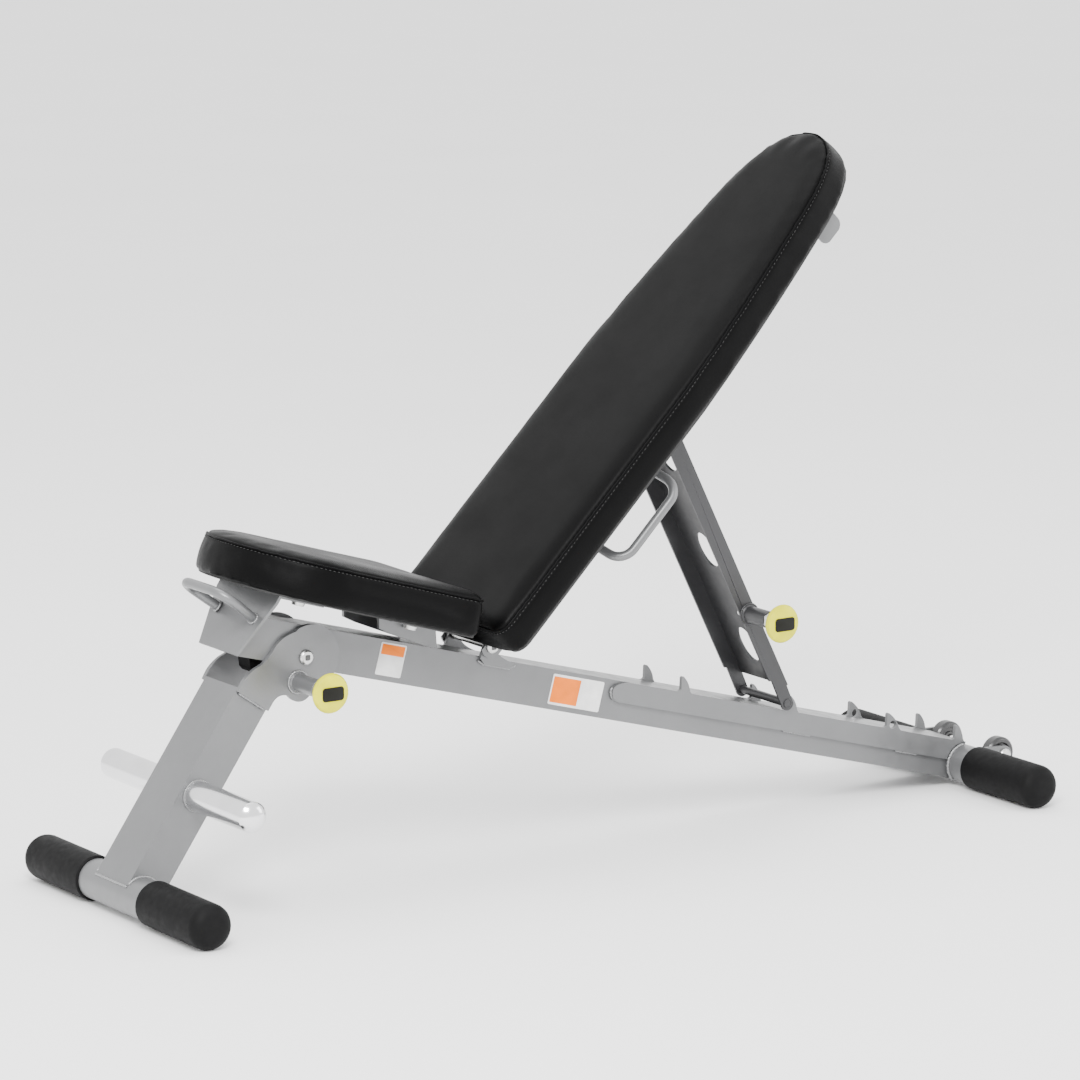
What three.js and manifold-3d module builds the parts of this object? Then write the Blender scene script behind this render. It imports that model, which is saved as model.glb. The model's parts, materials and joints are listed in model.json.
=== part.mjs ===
// Adjustable decline sit-up bench: sprung pins, folding front leg, tilting back pad, hooked strut, wheels.
// Millimetres, +Z up, X runs from the foot end to the head end, Y is across, and the near side is -Y.
import * as THREE from "three";
import { mergeVertices } from "three/addons/utils/BufferGeometryUtils.js";
import Module from "manifold-3d";

const wasm = await Module();
wasm.setup();

// ---- driving dimensions -------------------------------------------------------------------------
const GAP = 0.3;                     // between parts that touch
const CENTRE_X = 644;                // middle of the bench, measured from the foot bar's axis

const TUBE_WIDTH = 76.2;             // 3 x 2 inch tube of the beam and the leg
const TUBE_DEPTH = 50.8;
const WALL = 3;
const HALF_WIDTH = TUBE_WIDTH / 2;
const PLATE_IN = HALF_WIDTH + GAP;   // plates welded to the sides of the tubes
const PLATE_OUT = PLATE_IN + 5;
const EAR_OUT = PLATE_IN + 6;

const BAR_RADIUS = 25.4;             // foot bar and rear bar
const BAR_HALF = 203;
const GRIP_RADIUS = 28.5;
const GRIP_HALF = 213;
const GRIP_START = 71;
const GRIP_DOME = 16;
const FOOT_Z = GRIP_RADIUS;
const REAR_BAR_X = 1246.6;

const LEG_ANGLE = 55.1;              // rises towards the head end
const LEG_TOP = 277;                 // along the leg, from the foot bar's axis
const LEG_PIVOT = [352.2, -34.5];    // along and across the leg
const LEG_PIN = [321.5, -42];
const EAR_CENTRE = [355, -41];
const EAR_HEEL = [318.2, -48];
const PEG_AT = 140;
const PEG_RADIUS = 19;
const PEG_HALF = 176;

const BEAM_AT = [234.9, 293.9];      // in X and Z
const BEAM_TILT = 15.3;              // falls towards the head end
const BEAM_TOP = 39.5;               // square to the beam
const BEAM_BOTTOM = BEAM_TOP - TUBE_DEPTH;
const BEAM_FRONT = -100.4;
const TEETH = [562.4, 738.4, 904.1, 1021.4];
const TOOTH_HEIGHT = 19.8;
const LADDER_START = 458;
const LADDER_END = 1036;
const LADDER_LOW = 12.8;
const LOCK_HOLE = [914.1, 45.4];
const BACK_PIVOT = [258.1, 54.7];    // in the beam's frame
const LUG_RADIUS = 8.4;

const BACK_ANGLE = 45.25;
const PAD_BACK = 8.8;                // the pad's underside, in front of the back pivot
const BACK_SIDE = 46;
const BACK_START = -10;              // along the pad, from the back pivot
const BACK_END = 799;
const BACK_HALF = 134;
const SEAT_ANGLE = 16.8;
const SEAT_REAR = [431.9, 308.5];      // rear end of the seat's underside
const SEAT_SIDE = 51.5;
const SEAT_LENGTH = 324;
const SEAT_STRAIGHT = 214;
const SEAT_HALF = 130;
const SEAT_CORNER = 13;
const BACK_CORNER = 27;
const PAD_CROWN = 6;
const BOARD_THICK = 9;
const BOARD_INSET = 8;

const CHANNEL_IN = 44;               // bent steel channel under the back pad
const CHANNEL_OUT = 47.2;
const SHEET = 3.2;
const STRUT_IN = 47.8;
const STRUT_OUT = 51;
const STRUT_PIVOT = [363.1, -11.2];  // along and across the back pad, from its pivot
const STRUT_ANGLE = 63.45;
const STRUT_LENGTH = 424.2;
const STRUT_HALF = 11.5;
const STRUT_PIN_AT = 284.2;
const OVAL_AT = [54, 201, 348];
const ROD_RADIUS = 5.4;
const HANDLE_RADIUS = 6;

const AXLE = [1294, 39];
const WHEEL_RADIUS = 22.5;
const WHEEL_IN = 46;
const WHEEL_OUT = 63.5;
const KNOB_RADIUS = 25;
const PIN_RADIUS = 5;
const PIN_HOLE = PIN_RADIUS + 0.4;
const SLEEVE_RADIUS = 11;
const NUT_THICK = 8;

// ---- materials ----------------------------------------------------------------------------------
function look(color, roughness, metalness) {
  return new THREE.MeshStandardMaterial({ color, roughness, metalness });
}
const silverPaint = look(0xb4b6b8, 0.42, 0.35);
const charcoalPaint = look(0x4a4b4d, 0.5, 0.2);
const blackVinyl = look(0x161616, 0.48, 0);
const blackBoard = look(0x1b1b1b, 0.85, 0);
const blackRubber = look(0x1a1a1b, 0.8, 0);
const blackPlastic = look(0x1d1d1e, 0.45, 0);
const chrome = look(0xd2d3d5, 0.15, 1);
const zinc = look(0xb9bcbe, 0.3, 0.9);
const yellowPlastic = look(0xeae24b, 0.4, 0);

// ---- solids -------------------------------------------------------------------------------------
// A closed geometry as a solid, turned the right way out.
function solid(geometry) {
  const bare = geometry.clone();
  bare.deleteAttribute("normal");
  bare.deleteAttribute("uv");
  const merged = mergeVertices(bare, 1e-4);
  const vertProperties = new Float32Array(merged.attributes.position.array);
  const triVerts = new Uint32Array(merged.index.array);
  if (signedVolume(vertProperties, triVerts) < 0) triVerts.reverse();
  return new wasm.Manifold(new wasm.Mesh({ numProp: 3, vertProperties, triVerts }));
}

function signedVolume(points, triangles) {
  const corner = (i) => new THREE.Vector3().fromArray(points, triangles[i] * 3);
  let sum = 0;
  for (let i = 0; i < triangles.length; i += 3) {
    sum += corner(i).dot(corner(i + 1).cross(corner(i + 2)));
  }
  return sum;
}

function geometryOf(manifold) {
  const mesh = manifold.getMesh();
  const geometry = new THREE.BufferGeometry();
  geometry.setAttribute("position", new THREE.BufferAttribute(new Float32Array(mesh.vertProperties), 3));
  geometry.setIndex(new THREE.BufferAttribute(new Uint32Array(mesh.triVerts), 1));
  const faceted = geometry.toNonIndexed();
  faceted.computeVertexNormals();
  return faceted;
}

const union = (...parts) => parts.reduce((all, part) => all.add(part));
const cut = (body, ...tools) => tools.reduce((left, tool) => left.subtract(tool), body);
const onSide = (body, side) => (side > 0 ? body : body.mirror([0, 1, 0]));
const radians = THREE.MathUtils.degToRad;

function box(x0, x1, y0, y1, z0, z1) {
  return wasm.Manifold.cube([x1 - x0, y1 - y0, z1 - z0]).translate([x0, y0, z0]);
}

function extruded(shape, depth, segments) {
  return new THREE.ExtrudeGeometry(shape, { depth, bevelEnabled: false, curveSegments: segments });
}

// A flat shape drawn in X and Z, from y0 to y1.
function slab(shape, y0, y1, segments = 10) {
  const geometry = extruded(shape, y1 - y0, segments);
  geometry.rotateX(Math.PI / 2);
  geometry.translate(0, y1, 0);
  return solid(geometry);
}

// A flat shape drawn in X and Y, from z0 to z1.
function sheet(shape, z0, z1, segments = 10) {
  const geometry = extruded(shape, z1 - z0, segments);
  geometry.translate(0, 0, z0);
  return solid(geometry);
}

// A flat shape drawn in Y and Z, from x0 to x1.
function across(shape, x0, x1) {
  const geometry = extruded(shape, x1 - x0, 8);
  const [x, y, z] = [new THREE.Vector3(1, 0, 0), new THREE.Vector3(0, 1, 0), new THREE.Vector3(0, 0, 1)];
  geometry.applyMatrix4(new THREE.Matrix4().makeBasis(y, z, x));
  geometry.translate(x0, 0, 0);
  return solid(geometry);
}

function polygon(points) {
  return new THREE.Shape(points.map(([x, y]) => new THREE.Vector2(x, y)));
}

// A round bar along Y, at a place in X and Z.
function crossBar([x, z], radius, y0, y1, segments = 32) {
  const geometry = new THREE.CylinderGeometry(radius, radius, y1 - y0, segments);
  geometry.translate(x, (y0 + y1) / 2, z);
  return solid(geometry);
}

// A turned piece along Y: its profile is a list of radius and Y.
function turned([x, z], profile, segments = 24) {
  const geometry = new THREE.LatheGeometry(profile.map(([r, y]) => new THREE.Vector2(r, y)), segments);
  geometry.translate(x, 0, z);
  return solid(geometry);
}

// A round rod through its corners, with every corner bent.
function bentRod(corners, radius, bend) {
  const path = new THREE.CurvePath();
  let from = corners[0];
  corners.slice(1, -1).forEach((corner, i) => {
    const next = corners[i + 2];
    const before = corner.clone().add(from.clone().sub(corner).setLength(bend));
    const after = corner.clone().add(next.clone().sub(corner).setLength(bend));
    path.add(new THREE.LineCurve3(from, before));
    path.add(new THREE.QuadraticBezierCurve3(before, corner, after));
    from = after;
  });
  path.add(new THREE.LineCurve3(from, corners.at(-1)));
  const circle = new THREE.Shape().absarc(0, 0, radius, 0, 2 * Math.PI);
  return solid(new THREE.ExtrudeGeometry(circle, {
    steps: 30, curveSegments: 5, extrudePath: path, bevelEnabled: false,
  }));
}

function hexNut([x, z], acrossFlats, hole, y0, y1) {
  const radius = acrossFlats / Math.sqrt(3);
  const geometry = new THREE.CylinderGeometry(radius, radius, y1 - y0, 6);
  geometry.translate(x, (y0 + y1) / 2, z);
  return cut(solid(geometry), crossBar([x, z], hole, y0 - 1, y1 + 1, 20));
}

// ---- frames -------------------------------------------------------------------------------------
const bench = new THREE.Group();
bench.position.x = -CENTRE_X;

function rotated([x, z], degreesUp) {
  const turn = radians(degreesUp);
  return [x * Math.cos(turn) - z * Math.sin(turn), x * Math.sin(turn) + z * Math.cos(turn)];
}

// A frame has its own origin and slope: toWorld and toLocal carry points in X and Z across.
function frame([x, z], degreesUp) {
  const group = new THREE.Group();
  group.position.set(x, 0, z);
  group.rotation.y = -radians(degreesUp);
  bench.add(group);
  return {
    group,
    toWorld: (point) => rotated(point, degreesUp).map((value, i) => value + [x, z][i]),
    toLocal: (point) => rotated([point[0] - x, point[1] - z], -degreesUp),
  };
}

const floor = frame([0, 0], 0);
const leg = frame([0, FOOT_Z], LEG_ANGLE);
const beam = frame(BEAM_AT, -BEAM_TILT);
const seat = frame(SEAT_REAR, -SEAT_ANGLE);
const back = frame(beam.toWorld(BACK_PIVOT), BACK_ANGLE);
const strut = frame(back.toWorld(STRUT_PIVOT), -STRUT_ANGLE);

function add(place, name, body, material) {
  const mesh = new THREE.Mesh(geometryOf(body), material);
  mesh.name = name;
  place.group.add(mesh);
}

// ---- cross bars, rubber grips, pull pins and pivot bolts ----------------------------------------
function grip(at) {
  const bore = BAR_RADIUS + GAP;
  const steps = 5;
  const dome = [];
  for (let i = 0; i <= steps; i += 1) {
    const turn = radians(90 * i / steps);
    dome.push([
      GRIP_RADIUS - GRIP_DOME * (1 - Math.cos(turn)),
      GRIP_HALF - GRIP_DOME * (1 - Math.sin(turn)),
    ]);
  }
  return turned(at, [
    [0, BAR_HALF + GAP], [bore, BAR_HALF + GAP], [bore, GRIP_START],
    [GRIP_RADIUS - 2, GRIP_START], [GRIP_RADIUS, GRIP_START + 2], ...dome, [0, GRIP_HALF],
  ], 32);
}

function barWithGrips(place, name, at) {
  const bore = crossBar(at, BAR_RADIUS - WALL, -BAR_HALF - 1, BAR_HALF + 1, 28);
  add(place, `${name}_bar`, cut(crossBar(at, BAR_RADIUS, -BAR_HALF, BAR_HALF, 40), bore), silverPaint);
  add(place, `${name}_grip_right`, grip(at), blackRubber);
  add(place, `${name}_grip_left`, onSide(grip(at), -1), blackRubber);
}

// A sprung pin along -Y: a welded sleeve, a nut, and a rod with a round knob.
function pullPin(place, name, at, start, length, tip, sleevePaint) {
  const sleeveEnd = -start - length;
  const nutEnd = sleeveEnd - GAP - NUT_THICK;
  const knobBack = nutEnd - 1;
  const face = knobBack - GAP;
  add(place, `${name}_sleeve`, turned(at, [
    [PIN_HOLE, sleeveEnd], [SLEEVE_RADIUS, sleeveEnd], [SLEEVE_RADIUS, -start - 4],
    [SLEEVE_RADIUS + 3, -start], [PIN_HOLE, -start], [PIN_HOLE, sleeveEnd],
  ]), sleevePaint);
  add(place, `${name}_nut`, hexNut(at, 20, PIN_HOLE, nutEnd, nutEnd + NUT_THICK), zinc);
  add(place, `${name}_rod`, turned(at, [
    [0, knobBack], [PIN_RADIUS, knobBack], [PIN_RADIUS, -tip - 1.5], [PIN_RADIUS - 1.5, -tip], [0, -tip],
  ], 20), zinc);
  add(place, `${name}_knob`, turned(at, [
    [0, face - 22], [KNOB_RADIUS - 6, face - 21.4], [KNOB_RADIUS - 2, face - 19.5],
    [KNOB_RADIUS, face - 16], [KNOB_RADIUS - 1, face - 12.5], [KNOB_RADIUS - 6, face - 9],
    [11, face - 5], [9.5, face], [0, face],
  ], 28), yellowPlastic);
}

// A bolt along Y: a round head on the near side and a nut on the far side.
function pivotBolt(place, name, at, radius, reach, headRadius) {
  const head = -reach - GAP;
  const nutEnd = reach + GAP + 7;
  add(place, `${name}_bolt`, turned(at, [
    [0, head - 5], [headRadius - 2, head - 5], [headRadius, head - 3],
    [headRadius, head], [radius, head], [radius, nutEnd + 2], [0, nutEnd + 2],
  ], 24), zinc);
  add(place, `${name}_nut`, hexNut(at, 1.7 * headRadius, radius + 0.1, reach + GAP, nutEnd), zinc);
}

// ---- front leg ----------------------------------------------------------------------------------
function legEar() {
  const half = TUBE_DEPTH / 2;
  const low = 272;
  const crest = [[288, 26], [304, 21.5], [317, 14], [331, 11], [347, 9.5], [360, 4.5], [372.5, -5.3]];
  const ear = new THREE.Shape();
  ear.moveTo(low, -half);
  ear.lineTo(low, half);
  ear.splineThru(crest.map(([x, z]) => new THREE.Vector2(x, z)));
  ear.absarc(...EAR_CENTRE, 41, radians(60), radians(-100), true);
  ear.absarc(...EAR_HEEL, 19, radians(-100), radians(-205), true);
  ear.quadraticCurveTo(297, -26, low + 12, -half);
  const bolt = crossBar(LEG_PIVOT, 6.4, PLATE_IN - 1, EAR_OUT + 1, 20);
  return cut(slab(ear, PLATE_IN, EAR_OUT), bolt);
}

function buildLeg() {
  const half = TUBE_DEPTH / 2;
  const past = HALF_WIDTH + 1;
  barWithGrips(leg, "foot", [0, 0]);

  const outer = box(0, LEG_TOP, -HALF_WIDTH, HALF_WIDTH, -half, half);
  const hollow = box(-1, LEG_TOP - WALL, WALL - HALF_WIDTH, HALF_WIDTH - WALL, WALL - half, half - WALL);
  const cope = crossBar([0, 0], BAR_RADIUS + GAP, -past, past, 40);
  const pegHole = crossBar([PEG_AT, 0], PEG_RADIUS + GAP, -past, past, 36);
  add(leg, "leg_tube", cut(outer, hollow, cope, pegHole), silverPaint);

  const shoulder = PEG_HALF - 9;
  const end = [[PEG_RADIUS, shoulder], [15, PEG_HALF - 4.2], [9, PEG_HALF - 1.2], [0, PEG_HALF]];
  const start = end.map(([r, y]) => [r, -y]).reverse();
  add(leg, "peg_bar", turned([PEG_AT, 0], [...start, ...end], 32), chrome);

  const pinHole = crossBar(LEG_PIN, PIN_HOLE, -EAR_OUT - 1, -PLATE_IN + 1, 20);
  add(leg, "leg_ear_right", legEar(), silverPaint);
  add(leg, "leg_ear_left", cut(onSide(legEar(), -1), pinHole), silverPaint);
  pullPin(leg, "leg_pin", LEG_PIN, EAR_OUT + GAP, 50, PLATE_IN + 0.2, silverPaint);
}

// ---- main beam ----------------------------------------------------------------------------------
function ladderPlate(side) {
  const nose = (BEAM_TOP - LADDER_LOW) / 2;
  const tip = BEAM_TOP + TOOTH_HEIGHT;
  const shape = new THREE.Shape();
  shape.moveTo(LADDER_START + nose, LADDER_LOW);
  shape.quadraticCurveTo(LADDER_START, LADDER_LOW, LADDER_START, LADDER_LOW + nose);
  shape.quadraticCurveTo(LADDER_START, BEAM_TOP - 2, LADDER_START + 2 * nose, BEAM_TOP);
  TEETH.forEach((x, i) => {
    const heel = i === 2 ? 27 : 19;
    shape.lineTo(x - 7, BEAM_TOP);
    shape.quadraticCurveTo(x + 0.6, BEAM_TOP, x + 0.4, BEAM_TOP + 4);
    shape.lineTo(x - 2.6, tip - 2.4);
    shape.quadraticCurveTo(x - 2.6, tip, x, tip);
    shape.quadraticCurveTo(x + heel * 0.55, tip - 6, x + heel * 0.75, BEAM_TOP + 4);
    shape.quadraticCurveTo(x + heel * 0.9, BEAM_TOP, x + heel, BEAM_TOP);
  });
  shape.lineTo(LADDER_END + 6, BEAM_TOP - 2);
  shape.lineTo(LADDER_END + 6, BEAM_TOP - 10);
  shape.lineTo(LADDER_END - 14, LADDER_LOW);
  const ring = crossBar(beam.toLocal([REAR_BAR_X, FOOT_Z]), BAR_RADIUS + 4, PLATE_IN - 1, PLATE_OUT + 1, 40);
  const lock = crossBar(LOCK_HOLE, PIN_RADIUS + 0.5, PLATE_IN - 1, PLATE_OUT + 1, 20);
  return onSide(cut(slab(shape, PLATE_IN, PLATE_OUT, 5), ring, lock), side);
}

function buildBeam() {
  const past = HALF_WIDTH + 1;
  const bar = beam.toLocal([REAR_BAR_X, FOOT_Z]);
  const outline = polygon([
    [BEAM_FRONT, BEAM_BOTTOM], [bar[0], BEAM_BOTTOM], [bar[0], BEAM_TOP], [BEAM_FRONT + 16.5, BEAM_TOP],
  ]);
  const hollow = box(-150, bar[0] + 1, WALL - HALF_WIDTH, HALF_WIDTH - WALL, BEAM_BOTTOM + WALL, BEAM_TOP - WALL);
  const cope = crossBar(bar, BAR_RADIUS + GAP, -past, past, 40);
  const legBolt = crossBar(beam.toLocal(leg.toWorld(LEG_PIVOT)), 6.4, -past, past, 20);
  add(beam, "main_beam", cut(slab(outline, -HALF_WIDTH, HALF_WIDTH), hollow, cope, legBolt), silverPaint);
  add(beam, "ladder_plate_right", ladderPlate(1), silverPaint);
  add(beam, "ladder_plate_left", ladderPlate(-1), silverPaint);
  barWithGrips(floor, "rear", [REAR_BAR_X, FOOT_Z]);

  // The tab under the beam that the leg's pull pin locks into, and the rubber stop in front of it.
  const hung = BEAM_BOTTOM - GAP;
  const [x, z] = beam.toLocal(leg.toWorld(LEG_PIN));
  const tab = polygon([[x - 13, hung], [x - 13, z]]);
  tab.absarc(x, z, 13, Math.PI, 2 * Math.PI, false);
  tab.lineTo(x + 13, hung);
  const lock = crossBar([x, z], PIN_HOLE, -past, past, 20);
  add(beam, "leg_lock_tab", cut(slab(tab, -HALF_WIDTH, 6 - HALF_WIDTH), lock), silverPaint);
  const stop = polygon([[-66, hung], [-60, hung - 15], [-54, hung - 19], [-44, hung]]);
  add(beam, "beam_stop", slab(stop, -14, 14), blackRubber);
}

// Lugs for the back pad's pivot, welded to the beam's sides.
function buildLugs() {
  const [x, z] = BACK_PIVOT;
  const lug = polygon([[x - 2, BEAM_TOP - 9], [x - LUG_RADIUS - 2, BEAM_TOP - 2]]);
  lug.lineTo(x - LUG_RADIUS, z);
  lug.absarc(x, z, LUG_RADIUS, Math.PI, 0, true);
  lug.quadraticCurveTo(x + 14, BEAM_TOP + 2, x + 44, BEAM_TOP - 1);
  lug.lineTo(x + 38, BEAM_TOP - 9);
  const body = cut(slab(lug, PLATE_IN, PLATE_OUT), crossBar(BACK_PIVOT, 5.4, PLATE_IN - 1, PLATE_OUT + 1, 20));
  add(beam, "back_lug_right", body, silverPaint);
  add(beam, "back_lug_left", onSide(body, -1), silverPaint);
  pivotBolt(beam, "back_pivot", BACK_PIVOT, 5, CHANNEL_OUT, LUG_RADIUS);
  pivotBolt(beam, "leg_pivot", beam.toLocal(leg.toWorld(LEG_PIVOT)), 6, EAR_OUT, 9.3);
}

// ---- pads and boards ----------------------------------------------------------------------------
// The seat runs forwards along -X from its square rear end to a round front.
function seatOutline(inset) {
  const half = SEAT_HALF - inset;
  const corner = Math.max(SEAT_CORNER - inset, 2);
  const shape = new THREE.Shape();
  shape.moveTo(-SEAT_STRAIGHT, -half);
  shape.lineTo(-inset - corner, -half);
  shape.absarc(-inset - corner, -half + corner, corner, -Math.PI / 2, 0, false);
  shape.lineTo(-inset, half - corner);
  shape.absarc(-inset - corner, half - corner, corner, 0, Math.PI / 2, false);
  shape.lineTo(-SEAT_STRAIGHT, half);
  const reach = SEAT_LENGTH - SEAT_STRAIGHT - inset;
  shape.absellipse(-SEAT_STRAIGHT, 0, reach, half, Math.PI / 2, 1.5 * Math.PI, false);
  return shape;
}

// The back pad is widest low down and narrows in a long curve to its rounded top.
function backOutline(inset) {
  const half = BACK_HALF - inset;
  const corner = BACK_CORNER - inset;
  const low = BACK_START + inset + corner;
  const end = BACK_END - inset;
  const shape = new THREE.Shape();
  shape.moveTo(low, half);
  shape.absarc(low, half - corner, corner, Math.PI / 2, Math.PI, false);
  shape.lineTo(low - corner, corner - half);
  shape.absarc(low, corner - half, corner, Math.PI, 1.5 * Math.PI, false);
  shape.lineTo(388, -half);
  shape.bezierCurveTo(508, inset - 128, 608, inset - 114, 694, inset - 99);
  shape.bezierCurveTo(758, inset - 85, end, -50, end, 0);
  shape.bezierCurveTo(end, 50, 758, 85 - inset, 694, 99 - inset);
  shape.bezierCurveTo(608, 114 - inset, 508, 128 - inset, 388, half);
  return shape;
}

// A pad stepped up to its crown, with its board let into the back.
function buildPad(place, name, outline, base, side) {
  const slice = (inset, z0, z1) => sheet(outline(inset), z0, z1, 7);
  const top = base + side;
  const body = union(slice(0, base, top), slice(5, top - 1, top + PAD_CROWN * 0.6),
    slice(16, top - 1, top + PAD_CROWN));
  const pocket = slice(BOARD_INSET - GAP, base - 1, base + BOARD_THICK + GAP);
  add(place, `${name}_pad`, cut(body, pocket), blackVinyl);
  add(place, `${name}_board`, slice(BOARD_INSET, base, base + BOARD_THICK), blackBoard);
}

// ---- seat brackets and front handle -------------------------------------------------------------
const SEAT_PLATE = 4;
const FACE_LOW = [135, 309.3];       // the front bracket's back face, low down
const FACE_TURN = 56.6;
const FRONT_BOLTS = [220, 45];       // forwards from the seat's rear end, and out from its middle
const REAR_BOLTS = [58, 52.9];

function seatBolts(name, [forward, out]) {
  [1, -1].forEach((side) => {
    const head = new THREE.CylinderGeometry(9, 7.5, 5, 24).rotateX(Math.PI / 2).translate(0, 0, -7);
    const shank = new THREE.CylinderGeometry(4, 4, SEAT_PLATE + 1, 20).rotateX(Math.PI / 2).translate(0, 0, -2.8);
    const bolt = union(solid(head), solid(shank)).translate([-forward, side * out, 0]);
    add(seat, `${name}_${side > 0 ? "right" : "left"}`, bolt, zinc);
  });
}

function boltHoles([forward, out]) {
  const hole = solid(new THREE.CylinderGeometry(4.4, 4.4, 20, 20).rotateX(Math.PI / 2));
  return [1, -1].map((side) => hole.translate([-forward, side * out, 0]));
}

// A point in the seat's frame, measured up the front bracket's back face and out from it.
function onFace(up, out) {
  const [x, z] = rotated([up, out], FACE_TURN);
  return seat.toLocal([FACE_LOW[0] + x, FACE_LOW[1] + z]);
}

// Where the front bracket's face, moved out by so much, meets a level of the seat's frame.
function faceMeets(level, out) {
  const [x0, z0] = onFace(0, out);
  const [x1, z1] = onFace(1, out);
  return x0 + (x1 - x0) * (level - z0) / (z1 - z0);
}

function buildSeatBrackets() {
  // Front: a tapered plate across the beam's end, bent back under the seat.
  const under = -GAP - SEAT_PLATE;
  const side = polygon([
    onFace(0, GAP), onFace(0, GAP + SEAT_PLATE), [faceMeets(-GAP, GAP + SEAT_PLATE), -GAP],
    [-198, -GAP], [-198, under], [faceMeets(under, GAP), under],
  ]);
  const narrow = 41.7;
  const wide = 69;
  const low = onFace(0, GAP)[1] - 5;
  const taper = polygon([[-narrow, low], [narrow, low], [wide, -12], [wide, 1], [-wide, 1], [-wide, -12]]);
  const front = slab(side, -wide, wide).intersect(across(taper, -350, -150));
  add(seat, "seat_front_bracket", cut(front, ...boltHoles(FRONT_BOLTS)), silverPaint);
  seatBolts("seat_bolt_front", FRONT_BOLTS);

  // Rear: a top plate, a cheek down each side of the beam and a cross plate between them.
  const cheek = polygon([[336, 345], [336, 320], [353, 311.2], [401, 291.2], [420, 285.2], [417.5, 320]]
    .map(seat.toLocal));
  const roof = box(-92, -14, -62, 62, under, -GAP);
  const web = box(-36, -32, -PLATE_OUT, PLATE_OUT, -60, under + 1);
  const beamTop = [100, 300].map((x) => beam.toWorld([x, BEAM_TOP + GAP])).map(seat.toLocal);
  const room = slab(polygon([...beamTop, [20, -160], [-140, -160]]), -PLATE_IN, PLATE_IN);
  const above = box(-150, 50, -80, 80, under + 1, 60);
  const cheeks = [1, -1].map((hand) => onSide(slab(cheek, PLATE_IN, PLATE_OUT), hand));
  const stand = cut(union(web.intersect(slab(cheek, -PLATE_OUT, PLATE_OUT)), ...cheeks), above);
  add(seat, "seat_rear_bracket", cut(union(stand, roof), room, ...boltHoles(REAR_BOLTS)), silverPaint);
  seatBolts("seat_bolt_rear", REAR_BOLTS);

  // Loop handle: its ends are welded to the front plate.
  const tip = seat.toLocal([110, 391]);
  const loop = [[onFace(49, -1), -40], [tip, -57], [tip, 57], [onFace(49, -1), 40]]
    .map(([[x, z], y]) => new THREE.Vector3(x, y, z));
  const skin = GAP + SEAT_PLATE + GAP;
  const behind = polygon([onFace(-60, skin), onFace(160, skin), onFace(160, -60), onFace(-60, -60)]);
  const handle = cut(bentRod(loop, HANDLE_RADIUS, 24), slab(behind, -80, 80));
  add(seat, "front_handle", handle, silverPaint);
}

// ---- back frame ---------------------------------------------------------------------------------
function buildBackFrame() {
  const [x, z] = STRUT_PIVOT;
  const top = PAD_BACK - GAP;
  const flange = new THREE.Shape();
  flange.moveTo(x, z - 14);
  flange.absarc(x, z, 14, -Math.PI / 2, Math.PI / 4, false);
  flange.lineTo(x + 8, top);
  flange.lineTo(-9, top);
  flange.absarc(0, 0, 15, radians(145), radians(270), false);
  const walls = slab(flange, -CHANNEL_OUT, CHANNEL_OUT);
  const between = box(-40, x + 40, -CHANNEL_IN, CHANNEL_IN, -60, top - SHEET);
  const mouth = box(-40, 30, -CHANNEL_IN, CHANNEL_IN, -60, 60);
  const holes = [crossBar([0, 0], 5.4, -60, 60, 20), crossBar([x, z], 5.4, -60, 60, 20)];
  add(back, "back_channel", cut(walls, between, mouth, ...holes), silverPaint);

  [1, -1].forEach((side) => {
    const strap = onSide(box(60, 668, 52, 74, top - SHEET, top), side);
    add(back, `back_strap_${side > 0 ? "right" : "left"}`, strap, silverPaint);
  });

  // Top bracket: a plate across the straps' ends with a rounded leg down each side.
  const bracket = new THREE.Shape();
  bracket.moveTo(674, top);
  bracket.lineTo(674, -10);
  bracket.absarc(684, -10, 10, Math.PI, 1.5 * Math.PI, false);
  bracket.lineTo(700, -20);
  bracket.absarc(700, -8, 12, -Math.PI / 2, 0, false);
  bracket.lineTo(712, top);
  const legs = cut(slab(bracket, -77, 77), box(660, 720, -73, 73, -40, top - SHEET));
  add(back, "back_top_bracket", legs, silverPaint);

  // Loop handle on the near side: its ends are welded to the channel.
  const loop = [[306, -44, -13], [306, -95, -50], [184, -95, -50], [184, -44, -13]];
  const rod = bentRod(loop.map(([px, py, pz]) => new THREE.Vector3(px, py, pz)), HANDLE_RADIUS, 22);
  add(back, "back_handle", cut(rod, box(100, 400, -CHANNEL_OUT - GAP, 0, -80, 40)), silverPaint);
  buildPad(back, "back", backOutline, PAD_BACK, BACK_SIDE);
}

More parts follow.
